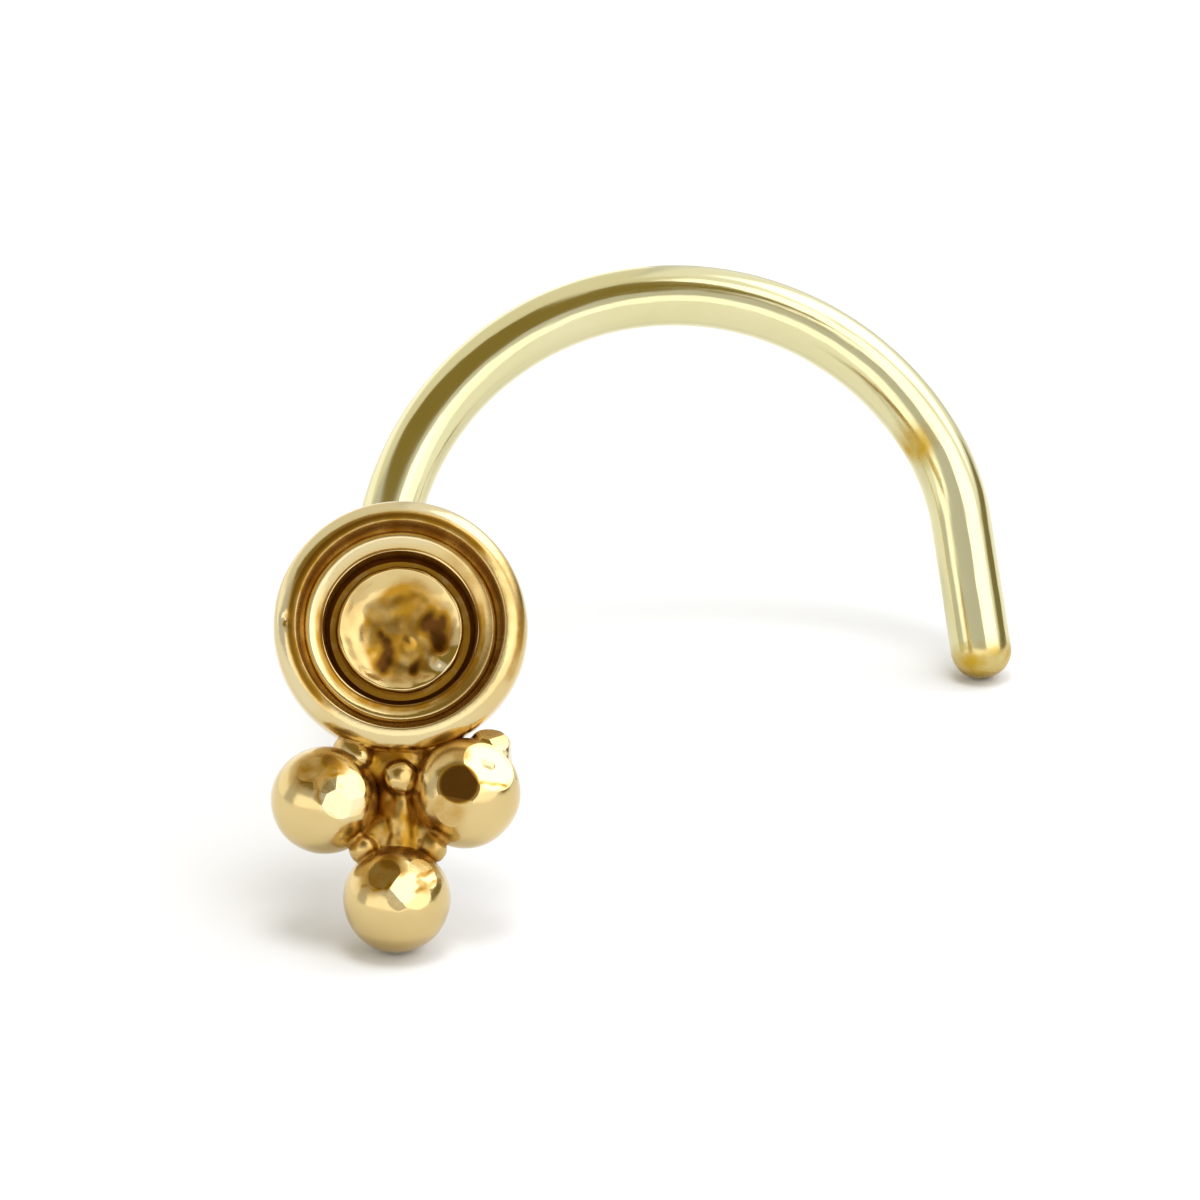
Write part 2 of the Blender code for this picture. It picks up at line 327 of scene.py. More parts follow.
# Drawn through a die and buffed: mirror with faint marks along its length, paler than the head
paleGold = makeGold("drawn pale yellow gold wire, polished", {
    "deep": "#D1C995", "light": "#DFD8B0", "freshAndHighlight": "#E4DFC4", "filmAndShade": "#BC9A34", "crustAndShade": "#6E4416",
    "cloudSize": 1.4, "filmSize": 0.3, "grain": 0.06,  # mm; real drawing marks are finer and wouldn't show
    "filmAndShadeRoughness": 0.2, "roughness": (0.08, 0.18), "bump": 0.10, "drawn": True,
})

cup = {
    "depth": 1.05, "segments": 160, "waves": (1.3, 0.024), "smooth": 40,
    "outline": [  # radius and depth: from the middle of the back round its edge and up the wall
        (0.3, 1.05), (1.45, 1.05), (1.4661, 1.0473), (1.4804, 1.0397), (1.4916, 1.0278), (1.4983, 1.0129),
        (1.575, 0.83), (1.613, 0.66), (1.635, 0.44), (1.634, 0.36),
        # over the bevel to the lip's crest
        (1.630, 0.290), (1.625, 0.230), (1.617, 0.186), (1.605, 0.156), (1.590, 0.132), (1.570, 0.107),
        (1.545, 0.081), (1.520, 0.059), (1.500, 0.044), (1.480, 0.031), (1.460, 0.0215), (1.435, 0.013),
        (1.405, 0.006), (1.375, 0.002), (1.358, 0.000), (1.346, 0.006), (1.338, 0.018), (1.333, 0.040),
        # down into the groove, under the ring and to the middle of the channel's floor
        (1.330, 0.080), (1.318, 0.22), (1.295, 0.33), (1.2875, 0.38), (1.2425, 0.36), (1.195, 0.33),
        (1.115, 0.34), (1.0, 0.38), (0.955, 0.69), (0.9, 0.74), (0.2, 0.74), (0.02, 0.74),
    ],
    "nick": {"place": (-1.474, 0.03, 0.06), "push": (0.02, 0.05, 0), "size": 0.11},
    "filmAndShade": {  # levels, each with the mm from the axis, mm of depth or shares where it starts and ends; painted shade in the channel, the groove, under the cup and on the lip's upper left, a darker strip and right side of the lip, and painted highlights on the lip's edge
        "channel": 1.25, "channelDepth": (0.40, 0.55), "channelWall": (1.04, 1.12),
        "groove": 0.75, "grooveDepth": (0.02, 0.16), "grooveAcross": (1.08, 1.16, 1.38, 1.42),
        "lip": 0.75, "lipDepth": (0.1, 0.2), "lipAcross": (1.2, 1.3, 1.44, 1.48),
        "line": 0.75, "lineAcross": (1.36, 1.40, 1.44, 1.47), "upperLeft": (-0.35, 0.1), "slant": 0.9,
        "paintedEdgeHighlight": 0.9, "paintedEdgeHighlightFrom": (1.47, 1.50),
        "strip": 1.1, "stripAcross": (1.48, 1.51, 1.57, 1.62), "stripSide": (0.80, 0.90),
        "stripUp": (-0.95, -0.6, 0.15, 0.40),
        "golden": 0.4, "goldenSide": (0.5, 0.9), "goldenFrom": (1.30, 1.34),
        "under": 0.8, "underDown": (1.35, 1.62), "underHalf": 0.9, "underFade": (0, 0.4),
        "underDepth": (0.05, 0.3), "underBack": (0.8, 1.0), "underKept": 0.4,
        "paintedHighlight": 0.4, "paintedHighlightSide": (0.6, 1.6), "paintedHighlightFrom": (1.33, 1.36),
        "cleanBack": (0.80, 0.90),
    },
}


def makeCup():
    c = cup
    piece = turnOnLathe("cup", c["outline"], c["segments"])
    pushDent(piece, c["nick"]["place"], c["nick"]["push"], c["nick"]["size"], "SHARP")
    roughen(piece, "cup waves", *c["waves"])

    def cupShadeAndHighlights(place):
        f = c["filmAndShade"]
        out, right, high = outFrom(place)
        onLip = 1 - easeIn(place.y, *f["lipDepth"])
        upperLeft = easeIn(high - f["slant"] * right, *f["upperLeft"])
        # Painted shade: the channel floor and the groove darker in depth
        channel = f["channel"] * easeIn(place.y, *f["channelDepth"]) * (1 - easeIn(out, *f["channelWall"]))
        groove = f["groove"] * easeIn(place.y, *f["grooveDepth"]) * within(out, *f["grooveAcross"])
        # Painted shade: the lip darker on its upper left, with a darker line along it
        lip = (f["lip"] + f["line"] * within(out, *f["lineAcross"])) * within(out, *f["lipAcross"])
        lip *= upperLeft * onLip
        strip = f["strip"] * within(out, *f["stripAcross"]) * easeIn(right, *f["stripSide"])
        strip *= within(place.z, *f["stripUp"]) * onLip
        golden = f["golden"] * easeIn(right, *f["goldenSide"]) * easeIn(out, *f["goldenFrom"]) * onLip
        front = 1 - easeIn(place.y, *f["cleanBack"])
        # Painted shade: the cup darker underneath, behind the tops of the grains
        under = f["under"] * easeIn(-place.z, *f["underDown"]) * easeIn(place.y, *f["underDepth"])
        under *= easeIn(f["underHalf"] - abs(place.x), *f["underFade"])
        under *= 1 - (1 - f["underKept"]) * easeIn(place.y, *f["underBack"])
        # Painted highlights: the lip paler on its lower right, and along its outer edge on the upper left
        paintedHighlight = f["paintedHighlight"] * easeIn(right - 2 * high, *f["paintedHighlightSide"]) * easeIn(out, *f["paintedHighlightFrom"])
        paintedEdgeHighlight = f["paintedEdgeHighlight"] * upperLeft * easeIn(out, *f["paintedEdgeHighlightFrom"])
        return (channel + max(groove, lip, strip, golden)) * front + under - (paintedHighlight + paintedEdgeHighlight) * onLip

    paintStainAndLight(piece, cupShadeAndHighlights)
    return layDown(piece, richGold, c["smooth"])


ring = {  # a turned collar: its face falls in towards the channel, so it catches the light on the far side
    "segments": 160, "waves": (0.8, 0.030), "smooth": 60,
    "outline": [  # radius and depth, all the way round its section
        (1.08, 0.72), (1.245, 0.72), (1.245, 0.36), (1.237, 0.33), (1.223, 0.30), (1.205, 0.282),
        (1.185, 0.274), (1.160, 0.278), (1.135, 0.288), (1.110, 0.301), (1.085, 0.316), (1.050, 0.334),
        (1.025, 0.356), (1.005, 0.385), (0.990, 0.43), (0.975, 0.60), (0.965, 0.72), (1.085, 0.72),
    ],
    "filmAndShade": {  # as for the cup
        "right": 0.45, "rightSide": (0.2, 0.8), "inside": (0.36, 0.43),
        "slopeFrom": 1.12, "slope": (0, 0.03), "belowTop": 0.6, "notTop": (0, 0.5),
        "paintedHighlight": 0.7, "paintedHighlightSide": (0.1, 0.8), "paintedHighlightDepth": (0.29, 0.34),
    },
}


def makeRing():
    r = ring
    outline = r["outline"]
    radius, depth = outline[0]
    piece = startCircle("inner_ring", r["segments"], radius, depth, "NOTHING")
    for newRadius, newDepth in outline[1:] + outline[:1]:
        bpy.ops.mesh.extrude_region_move(TRANSFORM_OT_translate={"value": (0, newDepth - depth, 0)})
        share = newRadius / radius
        bpy.ops.transform.resize(value=(share, share, share), center_override=(0, newDepth, 0))
        radius, depth = newRadius, newDepth
    bpy.ops.mesh.select_all(action="SELECT")
    bpy.ops.mesh.remove_doubles(threshold=mergeDistance)
    bpy.ops.mesh.normals_make_consistent(inside=False)
    closeEdit()
    roughen(piece, "ring waves", *r["waves"])

    def onSlope(place):  # painted shade: darker on the right, deep inside and up the slope except at the top; painted highlight: paler at the top left
        f = r["filmAndShade"]
        out, right, high = outFrom(place)
        filmAndShade = f["right"] * easeIn(right, *f["rightSide"])
        sloping = easeIn(f["slopeFrom"] - out, *f["slope"]) * easeIn(f["belowTop"] - high, *f["notTop"])
        paintedHighlight = f["paintedHighlight"] * easeIn(high - right, *f["paintedHighlightSide"])
        paintedHighlight *= 1 - easeIn(place.y, *f["paintedHighlightDepth"])
        return max(filmAndShade, easeIn(place.y, *f["inside"]), sloping) - paintedHighlight

    paintStainAndLight(piece, onSlope)
    return layDown(piece, richGold, r["smooth"])


dish = {
    "segments": 120, "waves": (0.30, 0.04), "smooth": 60,
    "outline": [  # radius and depth, from its foot over the rounded edge into the hollow
        (0.3, 0.90), (0.82, 0.90),
        (0.82, 0.86), (0.822, 0.70), (0.82, 0.60), (0.815, 0.56), (0.805, 0.535), (0.79, 0.52),
        (0.775, 0.516), (0.76, 0.522), (0.73, 0.540), (0.70, 0.560), (0.67, 0.580), (0.64, 0.598),
        (0.61, 0.613), (0.58, 0.625), (0.55, 0.634), (0.51, 0.642), (0.46, 0.648), (0.40, 0.652),
        (0.33, 0.655), (0.26, 0.657), (0.20, 0.658), (0.14, 0.658), (0.08, 0.658), (0.05, 0.658),
        (0.02, 0.658),
    ],
    "hollows": [  # place, depth pushed in and reach
        ((-0.16, 0.655, -0.35), 0.04, 0.24), ((0.46, 0.648, -0.04), 0.03, 0.26),
        ((0.10, 0.658, -0.16), -0.035, 0.11), ((0.05, 0.658, 0.18), 0.015, 0.22),
        ((0.53, 0.62, -0.40), -0.06, 0.20),
    ],
    "filmAndShade": {
        "spots": [  # to the right, up and reach
            (-0.20, -0.36, 0.22), (-0.21, -0.20, 0.17), (-0.16, -0.48, 0.17), (-0.23, -0.06, 0.11),
            (0.50, -0.02, 0.28), (0.38, 0.06, 0.22), (0.58, 0.14, 0.20), (0.44, -0.20, 0.17),
            (0.22, -0.46, 0.14),
        ],
        "spot": 1.45, "spotNarrow": 1.3, "spotTall": 0.8, "sway": (11, 1, 13, 0, 0.05),
        "inside": 0.95, "reach": (0.42, 0.56), "further": (0.14, 0.20),
        "slant": (0.9, -0.25), "towardsRight": (-0.50, -0.05),
        "lighter": 0.8, "lighterAt": (0.54, -0.42), "lighterReach": (0.08, 0.20),
        "left": 0.3, "leftFrom": (0.35, 0.55), "wallDepth": (0.60, 0.72), "wallFrom": (0.79, 0.80),
    },
}


def makeDish():
    d = dish
    piece = turnOnLathe("centre_dish", d["outline"], d["segments"])
    for place, push, size in d["hollows"]:
        pushDent(piece, place, (0, push, 0), size)
    roughen(piece, "dish waves", *d["waves"])

    def inHollow(place):
        f = d["filmAndShade"]
        out = outFrom(place)[0]
        x, _, z = shake(place, *f["sway"])
        # Darker over the middle of the hollow, reaching further on its right, in round patches and on its
        # left
        spots = max(1 - easeIn(math.hypot(f["spotNarrow"] * (x - right), f["spotTall"] * (z - up)), 0, reach)
                    for right, up, reach in f["spots"])
        # Painted highlight: a paler spot low on the right of the hollow
        lighter = 1 - easeIn(math.hypot(x - f["lighterAt"][0], z - f["lighterAt"][1]), *f["lighterReach"])
        shade = easeIn(f["slant"][0] * place.x + f["slant"][1] * place.z, *f["towardsRight"])
        low, high = (reach + more * shade for reach, more in zip(f["reach"], f["further"]))
        inside = (f["inside"] + f["spot"] * spots) * (1 - easeIn(out, low, high)) * (1 - lighter)
        left = f["left"] * easeIn(-place.x, *f["leftFrom"])
        # Painted shade: the foot's wall, deep in the channel, darker
        wall = easeIn(place.y, *f["wallDepth"]) * easeIn(out, *f["wallFrom"])
        return wall + max(inside, left) - f["lighter"] * lighter

    paintStainAndLight(piece, inHollow)
    return layDown(piece, richGold, d["smooth"])


grains = {
    # facings are degrees to the right and up, seen from the front; flats are (facing, depth of the cut),
    # pale spots are (facing, reach): filed metal and a painted highlight; dark spots are (facing, even to,
    # gone at, level), those facing up a painted reflection of the cup's underside; lines run between facings
    "each": {
        "grain_left": {
            "middle": (-0.975, 0.40, -2.226), "radius": 0.69,
            "flats": [((8, 12), 0.040), ((27, 9), 0.055), ((18, -6), 0.050), ((3, 0), 0.022),
                      ((33, -8), 0.030), ((-16, 30), 0.030)],
            "freshAndHighlight": [((19, 2), 0.38)],
            "darkSpots": [((-14, 30), 0.16, 0.40, 1.05), ((8, 38), 0.05, 0.26, 1.6),
                      ((-24, 8), 0.02, 0.14, 0.8)],
            "lines": [((-9, 14), (-6, -8)), ((20, 8), (25, -2)), ((2, 21), (26, 24)),
                      ((-26, 12), (-12, 16))],
        },
        "grain_right": {
            "middle": (0.833, 0.40, -2.132), "radius": 0.71,
            "flats": [((-8, 3), 0.060), ((32, 27), 0.10), ((-14, -24), 0.05)],
            "freshAndHighlight": [((32, 27), 0.40)],
            "darkSpots": [((-8, 3), 0.235, 0.30, 1.9), ((-28, -30), 0.14, 0.38, 0.70),
                      ((-2, 40), 0.05, 0.22, 0.6)],
            "lines": [((17, 6), (48, 4)), ((9, 14), (12, 30))],
        },
        "grain_bottom": {
            "middle": (-0.050, 0.40, -3.503), "radius": 0.69,
            "flats": [((12, 3), 0.042), ((34, 24), 0.035), ((-16, 22), 0.035), ((2, -6), 0.022),
                      ((22, -2), 0.026)],
            "freshAndHighlight": [((11, 7), 0.22), ((34, 30), 0.20)],
            "darkSpots": [((-32, 14), 0.06, 0.28, 0.9), ((-8, 36), 0.08, 0.28, 1.4),
                      ((34, 8), 0.02, 0.13, 1.2), ((26, 12), 0.02, 0.10, 0.9)],
            "lines": [((24, 3), (58, 17)), ((-41, 9), (-17, 3)), ((-12, 6), (-3, 16)),
                      ((26, 20), (50, 28))],
        },
    },
    "waves": (0.5, 0.022), "smooth": 18, "roundSpot": 1.8,  # a dark spot over this level keeps its round edge
    "gap": 1.1, "gapReach": 0.36, "cupAt": (0, 0.5, 0), "cupReach": 1.60, "cupShare": 0.75,
    "stemY": 0.55, "stemUp": (-2.9, -1.7), "stemReach": 0.40,
    "wobble": (14, 0, 17, 1, 0.035), "fray": (41, 0, 37, 2, 0.012), "line": 1.3, "lineHalf": (0.005, 0.075),
    "lineTaper": 0.03, "freshAndHighlightKept": 0.8, "freshAndHighlightUnder": (0.1, 0.5),
}


def grainWearAndLight(name):  # says how much darker or paler each place of this grain is painted
    g, f = grains["each"][name], grains
    others = [(Vector(o["middle"]), o["radius"]) for key, o in f["each"].items() if key != name]
    lines = [[towards(g["middle"], facing, g["radius"]) for facing in line] for line in g["lines"]]

    def awayFrom(place, facing):
        return (place - towards(g["middle"], facing, g["radius"])).length

    def toNeighbour(place):
        toGrain = min((place - middle).length - radius for middle, radius in others)
        toCup = (place - Vector(f["cupAt"])).length - f["cupReach"]
        low, high = f["stemUp"]
        toStem = (place - Vector((0, f["stemY"], max(low, min(high, place.z))))).length - f["stemReach"]
        return min(toGrain, f["cupShare"] * toCup, toStem)

    def wearAndLight(place):
        wobbled, frayed = shake(place, *f["wobble"]), shake(place, *f["fray"])
        # Painted shade: darker close to the other grains, the cup and the stem
        dark = f["gap"] * (1 - easeIn(toNeighbour(place), 0, f["gapReach"]))
        # Dark spots; the ones facing up are a painted reflection of the cup's underside
        for facing, even, gone, level in g["darkSpots"]:
            edge = place if level > f["roundSpot"] else wobbled
            dark = max(dark, level * (1 - easeIn(awayFrom(edge, facing), even, gone)))
        even, gone = f["lineHalf"]
        for first, last in lines:
            share = min(1, max(0, (frayed - first).dot(last - first) / (last - first).length_squared))
            away = (frayed - first.lerp(last, share)).length
            dark = max(dark, f["line"] * (1 - easeIn(away, even, gone - f["lineTaper"] * share)))
        # Paler on the filed flats: filed metal and a painted highlight
        freshAndHighlight = max(1 - easeIn(awayFrom(wobbled, facing), f["freshAndHighlightKept"] * reach, reach)
                    for facing, reach in g["freshAndHighlight"])
        return dark - freshAndHighlight * (1 - easeIn(dark, *f["freshAndHighlightUnder"]))

    return wearAndLight


def makeGrain(name):
    g = grains["each"][name]
    clearSelection()
    bpy.ops.mesh.primitive_ico_sphere_add(subdivisions=6, radius=g["radius"], location=g["middle"])
    piece = newPiece(name)
    roughen(piece, name + " waves", *grains["waves"])
    for facing, cut in g["flats"]:
        fileFlat(piece, g["middle"], facing, g["radius"] - cut)
    paintStainAndLight(piece, grainWearAndLight(name))
    return layDown(piece, richGold, grains["smooth"])


solder = {
    "balls": [  # place and radius of each lump, before they run together: first the stem and its corners
        ((0, 0.62, -1.60), 0.36), ((0, 0.62, -1.78), 0.37), ((0, 0.62, -1.95), 0.38),
        ((0, 0.62, -2.15), 0.38), ((0, 0.62, -2.35), 0.38), ((0, 0.62, -2.55), 0.37),
        ((0, 0.62, -2.75), 0.36), ((-0.02, 0.58, -2.95), 0.33),
        ((-0.60, 0.46, -1.60), 0.27), ((0.52, 0.46, -1.58), 0.27),
        ((-0.30, 0.60, -1.75), 0.30), ((0.30, 0.60, -1.75), 0.30),
        ((-0.47, 0.44, -2.85), 0.20), ((0.40, 0.44, -2.83), 0.20),
        ((-0.28, 0.60, -2.60), 0.30), ((0.28, 0.60, -2.60), 0.30),
        # the fillets under the cup, the granule and its seat, and the ridge below it
        ((0.45, 0.30, -1.72), 0.14), ((0.62, 0.30, -1.67), 0.14), ((0.80, 0.32, -1.61), 0.15),
        ((-0.52, 0.30, -1.68), 0.15), ((0, 0.20, -1.965), 0.225), ((0, 0.34, -1.965), 0.20),
        ((0, 0.36, -2.20), 0.16), ((0.01, 0.36, -2.30), 0.17), ((0, 0.36, -2.40), 0.16),
        ((-0.02, 0.36, -2.50), 0.17), ((0, 0.37, -2.60), 0.17), ((0.01, 0.38, -2.70), 0.17),
        ((0, 0.40, -2.80), 0.18),
    ],
    "grainShare": 0.86,  # of each grain's radius, for the ball inside it that the solder clings to
    "voxel": 0.03, "rounding": 6, "waves": (0.22, 0.04),
    "filmAndShade": {
        "filmAndShade": 1.15, "deeper": 0.35, "deepFrom": (0.35, 0.6), "behind": 0.9, "behindFrom": (0.72, 0.92),
        "front": 0.75, "frontFrom": 0.32, "frontFade": (0, 0.25), "side": 0.6, "sideFrom": (0.30, 0.55),
        "pit": 0.8, "pitAt": (-0.045, -2.20), "pitReach": (0.03, 0.09),
    },
}


def makeSolder():
    s = solder
    balls = s["balls"] + [(g["middle"], g["radius"] * s["grainShare"]) for g in grains["each"].values()]
    piece = meltBalls("solder", balls, s["voxel"], s["rounding"])
    roughen(piece, "solder lumps", *s["waves"])

    def inGaps(place):
        f = s["filmAndShade"]
        # Painted shade: the solder darker all over and more so deeper in, between the grains and the cup;
        # lighter at the front, the sides and the back; a dark pit
        front = f["front"] * easeIn(f["frontFrom"] - place.y, *f["frontFade"])
        lighter = front + f["side"] * easeIn(abs(place.x), *f["sideFrom"])
        behind = f["behind"] * easeIn(place.y, *f["behindFrom"])
        pitX, pitZ = f["pitAt"]
        pit = f["pit"] * (1 - easeIn(math.hypot(place.x - pitX, place.z - pitZ), *f["pitReach"]))
        return f["filmAndShade"] + f["deeper"] * easeIn(place.y, *f["deepFrom"]) - behind - lighter + pit

    paintStainAndLight(piece, inGaps)
    return layDown(piece, richGold)


bead = {  # a stub of solder in the corner between the cup and the right grain, filed level with the grain
    "balls": [((1.14, 0.45, -1.59), 0.30), ((1.17, 0.45, -1.72), 0.30), ((1.19, 0.45, -1.86), 0.29)],
    "voxel": 0.025, "rounding": 4, "smooth": 25,
    "flats": [((32, 27), 0.262), ((5, 62), 0.235), ((82, 0), 0.27)],  # facing, distance from the first ball
    "filmAndShade": 0.45, "filmAndShadeFrom": (-1.50, -1.36), "freshAndHighlight": 0.9, "freshAndHighlightTo": (-1.62, -1.52),
}


def makeBead():
    b = bead
    piece = meltBalls("solder_bead", b["balls"], b["voxel"], b["rounding"])
    for facing, distance in b["flats"]:
        fileFlat(piece, b["balls"][0][0], facing, distance)

    def filedAndLit(place):
        # The top painted darker, a painted reflection; the lower part paler: filed metal and a painted
        # highlight
        freshAndHighlight = b["freshAndHighlight"] * (1 - easeIn(place.z, *b["freshAndHighlightTo"]))
        return b["filmAndShade"] * easeIn(place.z, *b["filmAndShadeFrom"]) - freshAndHighlight

    paintStainAndLight(piece, filedAndLit)
    return layDown(piece, richGold, b["smooth"])


wire = {
    "radius": 0.405, "postLength": 6.50, "sides": 48,
    "hookRadius": 3.952, "across": 3.749, "up": 1.53, "twist": 5.2,
    "hookEnd": 31.5, "kinkRadius": 3.0, "splay": 8.6, "leg": 1.69,
    "inCup": 0.08, "steps": {"post": 12, "bend": 32, "hook": 110, "kink": 16, "leg": 14, "tip": 12},
    "tipTurn": 88, "smooth": 60, "perSpan": 8, "squeeze": 12,  # drawing marks are 12 times as long as wide
    "amber": 0.9, "amberSpot": (6.84, 8.25, 3.48), "amberReach": (0.12, 0.42),
    "tipFilm": 0.85, "tipFilmFrom": (-0.10, 0.14),
}


def followPath(piece, middles):
    # gives each point its place round the wire and, squeezed, its distance along it
    perSpan = wire["perSpan"]
    tree = KDTree(len(middles) * perSpan)
    frames = []
    turned = Vector((1, 0, 0))
    travelled = 0
    for first, last in zip(middles, middles[1:]):
        heading = (last - first).normalized()
        turned = (turned - heading * turned.dot(heading)).normalized()
        span = (last - first).length
        for share in (i / perSpan for i in range(perSpan)):
            frames.append((first.lerp(last, share), heading, turned, travelled + span * share))
        travelled += span
    for i, station in enumerate(frames):
        tree.insert(station[0], i)
    tree.balance()
    values = []
    for vert in piece.data.vertices:
        place, heading, side, distance = frames[tree.find(vert.co)[1]]
        off = vert.co - place
        along = (distance + off.dot(heading)) / wire["squeeze"]
        values += [off.dot(side), off.dot(heading.cross(side)), along]
    piece.data.attributes.new("drawn", "FLOAT_VECTOR", "POINT").data.foreach_set("vector", values)


def makeWire():
    w = wire
    steps = w["steps"]
    twist = math.radians(w["twist"])
    across = Vector((math.cos(twist), math.sin(twist), 0))
    up = Vector((0, 0, 1))
    back = Vector((0, 1, 0))
    corner = back * (cup["depth"] + w["postLength"] + w["radius"])
    away = math.hypot(w["across"], w["up"])
    bendRadius = math.sqrt(away ** 2 - w["hookRadius"] ** 2)
    start = math.atan2(-w["up"], -w["across"]) - math.acos(w["hookRadius"] / away)
    rising = across * math.sin(start) - up * math.cos(start)

    def inPlane(angle, radius, middle):
        return middle + (across * math.cos(angle) + up * math.sin(angle)) * radius

    hookMiddle = corner + across * w["across"] + up * w["up"]
    hookEnd = math.radians(w["hookEnd"])
    splay = math.radians(w["splay"])
    swept = start % math.tau - hookEnd
    kinkMiddle = inPlane(hookEnd, w["hookRadius"] - w["kinkRadius"], hookMiddle)
    overHook = up.cross(across)
    seat = cup["depth"] - w["inCup"]
    piece = startCircle("hook_wire", w["sides"], w["radius"], seat)
    bpy.ops.mesh.duplicate()
    straight = corner.y - bendRadius - seat
    for _ in range(steps["post"]):
        pullOut((0, straight / steps["post"], 0))
    bendMiddle = corner - back * bendRadius + rising * bendRadius
    turns = (
        (bendMiddle, back.cross(rising), math.pi / 2, steps["bend"]),
        (hookMiddle, overHook, swept, steps["hook"]),
        (kinkMiddle, overHook, hookEnd - splay, steps["kink"]),
    )
    for middle, axis, angle, count in turns:
        bpy.ops.mesh.spin(steps=count, angle=-angle, center=tuple(middle), axis=tuple(axis), dupli=False)
    heading = across * math.sin(splay) - up * math.cos(splay)
    for _ in range(steps["leg"]):
        pullOut(heading * (w["leg"] / steps["leg"]))
    end = inPlane(splay, w["kinkRadius"], kinkMiddle) + heading * w["leg"]
    for i in range(steps["tip"]):
        before, after = (math.radians(w["tipTurn"]) * k / steps["tip"] for k in (i, i + 1))
        forward = heading * w["radius"] * (math.sin(after) - math.sin(before))
        pullOut(forward, math.cos(after) / math.cos(before), end + heading * w["radius"] * math.sin(after))
    bpy.ops.mesh.merge(type="CENTER")
    bpy.ops.mesh.select_all(action="SELECT")
    bpy.ops.mesh.remove_doubles(threshold=mergeDistance)
    bpy.ops.mesh.normals_make_consistent(inside=False)
    closeEdit()
    middles = [Vector((0, seat, 0)), Vector((0, seat + straight, 0))]
    for middle, axis, angle, count in turns:
        spoke = middles[-1] - middle
        for i in range(1, count + 1):
            middles.append(middle + Quaternion(axis, angle * i / count) @ spoke)
    middles.append(end)
    followPath(piece, middles)
    amber = Vector(w["amberSpot"])

    def inBend(place):
        tip = w["tipFilm"] * easeIn((place - end).dot(heading), *w["tipFilmFrom"])
        return tip + w["amber"] * (1 - easeIn((place - amber).length, *w["amberReach"]))

    paintStainAndLight(piece, inBend)
    return layDown(piece, paleGold, w["smooth"])


foot = {"radius": 0.62, "height": 0.24, "inCup": 0.06, "cap": 0.01, "steps": 10, "segments": 72,
        "waves": (0.3, 0.02), "smooth": 50}


def makeFoot():  # the fillet of solder round the post
    f = foot
    flare = f["radius"] - wire["radius"]
    turns = [math.pi / 2 * i / f["steps"] for i in range(f["steps"] + 1)]
    curve = [(f["radius"] - flare * math.sin(turn), cup["depth"] + f["height"] * (1 - math.cos(turn)))
             for turn in turns]
    bottom, top = cup["depth"] - f["inCup"], cup["depth"] + f["height"] + f["cap"]
    profile = [(0.3, bottom), (f["radius"], bottom)] + curve + [(0.3, top), (0.02, top)]
    piece = turnOnLathe("post_foot", profile, f["segments"])
    roughen(piece, "foot lumps", *f["waves"])
    paintStainAndLight(piece, lambda place: 0.0)
    return layDown(piece, richGold, f["smooth"])


makeCup()
makeRing()
makeDish()
for grainName in grains["each"]:
    makeGrain(grainName)
makeSolder()
makeBead()
makeWire()
makeFoot()

# Matt board, nearly white: it shows where the stud touches it and nothing else
floor = {"half": 1.5, "colour": "#E5E7EB", "roughness": 0.9, "specular": 0.1}


def makeFloor():
    clearSelection()
    bpy.ops.mesh.primitive_plane_add(size=2 * floor["half"], location=(0, 0, 0))
    plane = bpy.context.active_object
    plane.name = "table"
    material = bpy.data.materials.new("matt white board")
    material.use_nodes = True
    shader = material.node_tree.nodes["Principled BSDF"]
    shader.inputs["Base Color"].default_value = toLinear(floor["colour"])
    shader.inputs["Roughness"].default_value = floor["roughness"]
    shader.inputs["Specular IOR Level"].default_value = floor["specular"]
    plane.data.materials.append(material)
    print("laid the board")


makeFloor()

studio = {
    "tent": (0.72, 0.72, 0.73),
    "patches": [  # azimuth from the front (right is +) and elevation, in degrees, the soft edge, brightness
        ((-180, 180), (76, 95), 8, (0.95, 0.91, 0.78)),
        ((-200, -100), (22, 84), 12, (0.98, 0.94, 0.82)),
        ((-200, -100), (-20, 18), 6, (1.4, 1.4, 1.4)),
        ((84, 172), (14, 74), 9, (1.15, 1.15, 1.16)),
        ((98, 148), (28, 62), 6, (2.7, 2.7, 2.72)),
        ((82, 126), (-20, 14), 5, (0.26, 0.22, 0.09)),
        ((-98, 16), (42, 78), 6, (0.30, 0.225, 0.06)),
        ((-98, 34), (52, 78), 6, (0.30, 0.225, 0.06)),
        ((24, 76), (8, 46), 4, (2.2, 2.2, 2.22)),
        ((40, 76), (46, 78), 4, (2.2, 2.2, 2.22)),
        ((-66, 66), (-20, 18), 5, (1.7, 1.7, 1.71)),
    ],
    "overhead": {"height": 200, "size": 80, "forward": 20, "watts": 0.14},
}


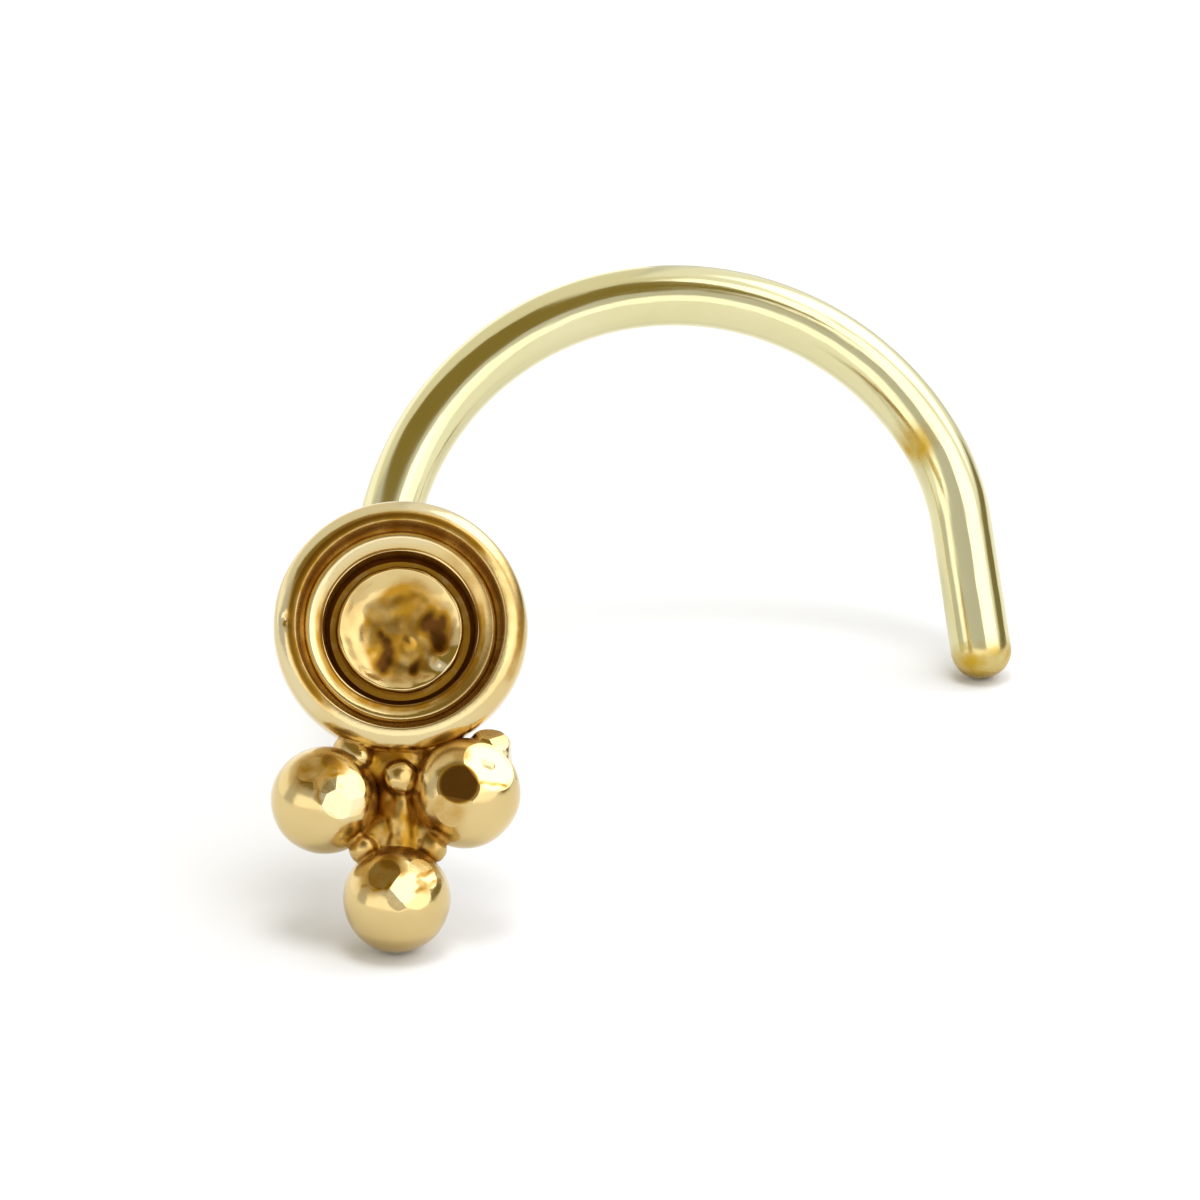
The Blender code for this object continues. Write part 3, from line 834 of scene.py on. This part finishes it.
def makeStudio():
    world = bpy.data.worlds.new("studio")
    bpy.context.scene.world = world
    world.use_nodes = True
    tree = world.node_tree
    direction = addNode(tree, "ShaderNodeTexCoord").outputs["Generated"]
    parts = addNode(tree, "ShaderNodeSeparateXYZ", {}, {0: direction}).outputs
    front = addNode(tree, "ShaderNodeMath", {"operation": "MULTIPLY", 1: -1.0}, {0: parts[1]}).outputs[0]
    side = addNode(tree, "ShaderNodeMath", {"operation": "ARCTAN2"}, {0: parts[0], 1: front}).outputs[0]
    rise = addNode(tree, "ShaderNodeMath", {"operation": "ARCSINE"}, {0: parts[2]}).outputs[0]
    colour = None
    for sides, rises, soft, tint in studio["patches"]:
        share = None
        for angle, (low, high) in ((side, sides), (rise, rises)):
            for start, stop in ((low - soft, low), (high + soft, high)):
                edge = addNode(tree, "ShaderNodeMapRange", {
                    "interpolation_type": "SMOOTHSTEP",
                    "From Min": math.radians(start), "From Max": math.radians(stop),
                }, {"Value": angle}).outputs["Result"]
                if share is not None:
                    edge = addNode(tree, "ShaderNodeMath", {"operation": "MULTIPLY"}, {0: share, 1: edge})
                    edge = edge.outputs[0]
                share = edge
        links = {"Factor": share}
        if colour is not None:
            links[mixFirst] = colour
        colour = addNode(tree, "ShaderNodeMix", {
            "data_type": "RGBA", mixFirst: (*studio["tent"], 1), mixSecond: (*tint, 1),
        }, links).outputs[mixResult]
    tree.links.new(colour, tree.nodes["Background"].inputs["Color"])
    print("lit the studio with", len(studio["patches"]), "patches")


def hangSoftbox():  # over the table; it lights the board and is left out of the reflections
    o = studio["overhead"]
    data = bpy.data.lights.new("overhead softbox", "AREA")
    data.shape = "DISK"
    data.size = o["size"] * mm
    data.energy = o["watts"]
    lamp = bpy.data.objects.new("overhead softbox", data)
    lamp.location = (0, -o["forward"] * mm, o["height"] * mm)
    lamp.visible_glossy = False
    bpy.context.scene.collection.objects.link(lamp)


makeStudio()
hangSoftbox()
bpy.context.scene.view_settings.view_transform = "Standard"

camera = {
    "rise": 21.52, "side": -1.0, "distance": 250.0, "pixelsPerMm": 78.0,
    "imageSide": 1200, "lipAt": (400.5, 624.0), "sensor": 36.0, "clip": (0.01, 10.0),
}


def makeCamera():
    c = camera
    rise, side = math.radians(c["rise"]), math.radians(c["side"])
    facing = Vector((math.sin(side) * math.cos(rise), -math.cos(side) * math.cos(rise), math.sin(rise)))
    right = Vector((math.cos(side), math.sin(side), 0))
    up = facing.cross(right)
    middle = c["imageSide"] / 2
    offRight = (middle - c["lipAt"][0]) / c["pixelsPerMm"]
    offUp = (c["lipAt"][1] - middle) / c["pixelsPerMm"]
    place = Vector(stance["lipMiddle"]) + facing * c["distance"] + right * offRight + up * offUp
    data = bpy.data.cameras.new("camera")
    data.sensor_width = c["sensor"]
    data.lens = data.sensor_width * c["distance"] * c["pixelsPerMm"] / c["imageSide"]
    data.clip_start, data.clip_end = c["clip"]
    body = bpy.data.objects.new("camera", data)
    body.location = place * mm
    body.rotation_euler = (math.pi / 2 - rise, 0, side)
    bpy.context.scene.collection.objects.link(body)
    bpy.context.scene.camera = body
    print("set up the camera")


makeCamera()
print("scene ready")
